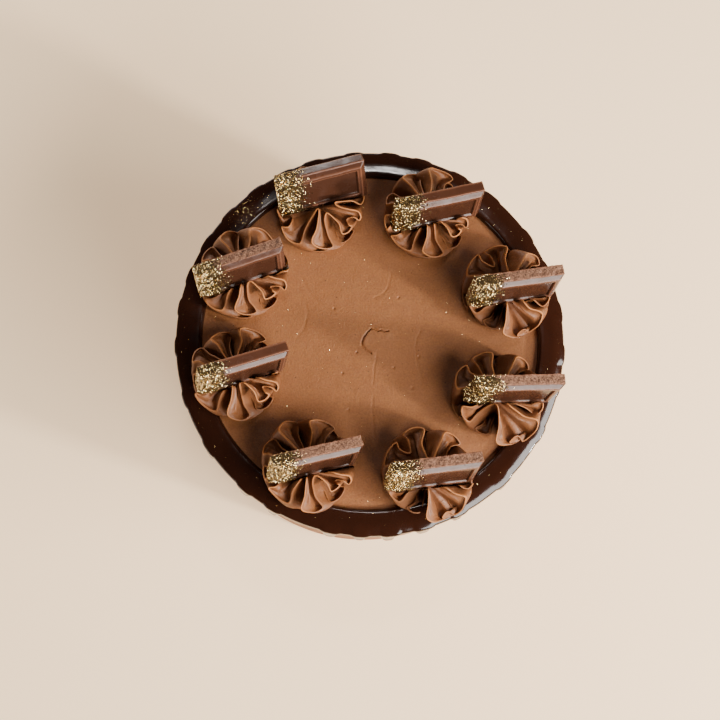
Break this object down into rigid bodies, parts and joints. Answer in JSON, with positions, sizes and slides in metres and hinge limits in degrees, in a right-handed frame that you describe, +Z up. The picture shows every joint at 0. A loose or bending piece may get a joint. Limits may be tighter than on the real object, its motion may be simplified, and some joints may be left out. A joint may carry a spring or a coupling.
{
  "type": "triple chocolate cake",
  "caption": "Round chocolate layer cake with a smooth buttercream coat, a ganache drip border, ruffled rosettes on top and a moulded chocolate piece in each rosette.",
  "frame": {"origin": "centre of the flat base", "axes": "+Z up, -Y towards the side that the leaning chocolate pieces face, +X to the right seen from there"},
  "size_m": [0.1596, 0.1596, 0.1393],
  "materials": {
    "buttercream": "smoothed chocolate buttercream, soft satin",
    "ganache": "dark chocolate ganache, glossy",
    "rosette_cream": "piped chocolate buttercream, satin, paler on thin edges",
    "milk_chocolate": "tempered milk chocolate, satin gloss",
    "gold_glitter": "fine metallic gold flakes"
  },
  "bodies": {
    "root": {"cake_body": "buttercream", "ganache_ring": "ganache", "rosette_1": "rosette_cream", "rosette_2": "rosette_cream", "rosette_3": "rosette_cream", "rosette_4": "rosette_cream", "rosette_5": "rosette_cream", "rosette_6": "rosette_cream", "rosette_7": "rosette_cream", "rosette_8": "rosette_cream", "chocolate_piece_1": "milk_chocolate", "chocolate_piece_2": "milk_chocolate", "chocolate_piece_3": "milk_chocolate", "chocolate_piece_4": "milk_chocolate", "chocolate_piece_5": "milk_chocolate", "chocolate_piece_6": "milk_chocolate", "chocolate_piece_7": "milk_chocolate", "chocolate_piece_8": "milk_chocolate"}
  },
  "joints": []
}
